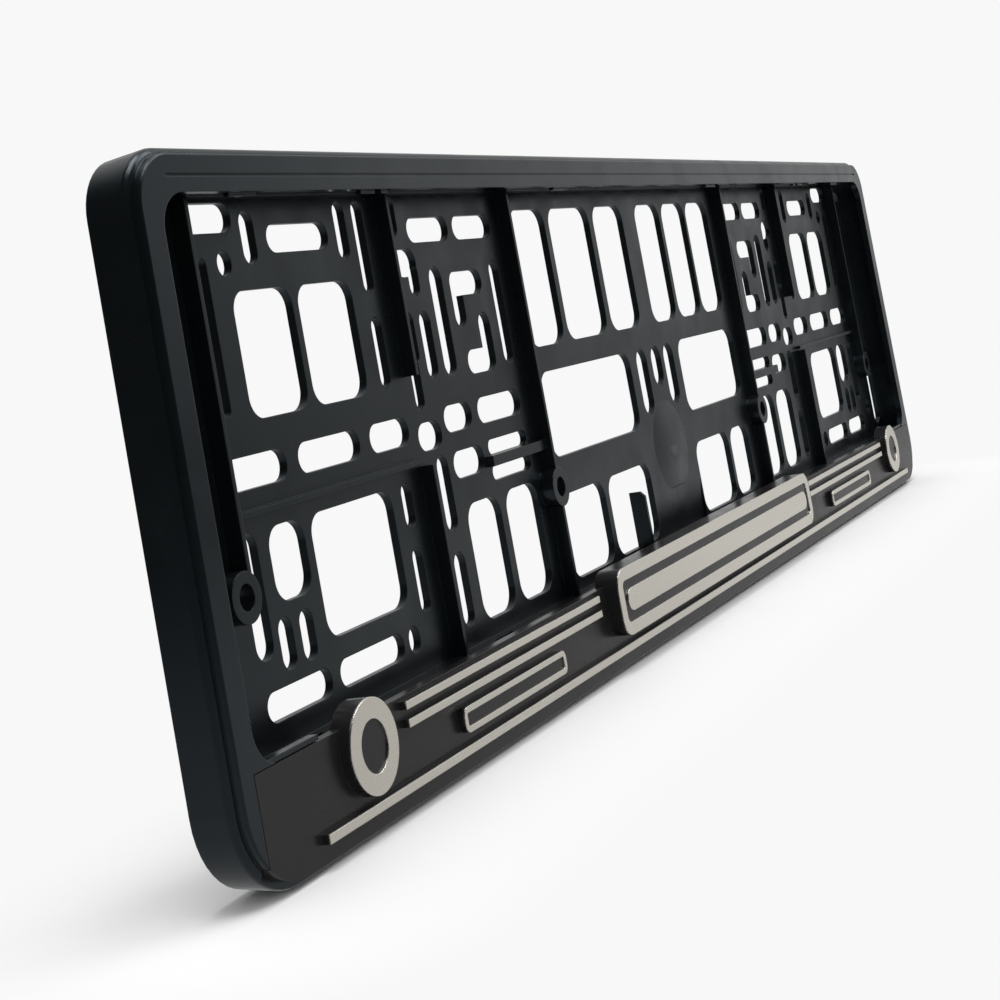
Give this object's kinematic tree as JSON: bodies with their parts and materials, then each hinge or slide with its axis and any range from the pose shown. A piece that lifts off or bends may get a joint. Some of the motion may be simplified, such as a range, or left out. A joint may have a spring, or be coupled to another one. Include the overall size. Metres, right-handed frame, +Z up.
{
  "type": "number plate holder",
  "caption": "Flat rectangular holder for a vehicle number plate: a rimmed, slotted backing frame with a clip-in lower strip carrying bright trim.",
  "frame": {"origin": "middle of the rear face that lies on the bumper", "axes": "+X along the holder to the right as seen from the front, +Y back into the bumper, +Z up; the front looks towards -Y"},
  "size_m": [0.53, 0.0164, 0.136],
  "materials": {
    "base_plastic": "satin moulding",
    "strip_plastic": "satin moulding",
    "bright_facing": "satin nickel colour"
  },
  "bodies": {
    "root": {"base_frame": "base_plastic", "lower_strip": "strip_plastic", "bottom_stripe": "bright_facing", "upper_stripe_left_1": "bright_facing", "upper_stripe_left_2": "bright_facing", "upper_stripe_right_1": "bright_facing", "upper_stripe_right_2": "bright_facing", "centre_badge_frame": "bright_facing", "centre_badge_bar": "bright_facing", "label_frame_left": "bright_facing", "label_frame_right": "bright_facing", "end_badge_left": "bright_facing", "end_badge_right": "bright_facing"}
  },
  "joints": []
}
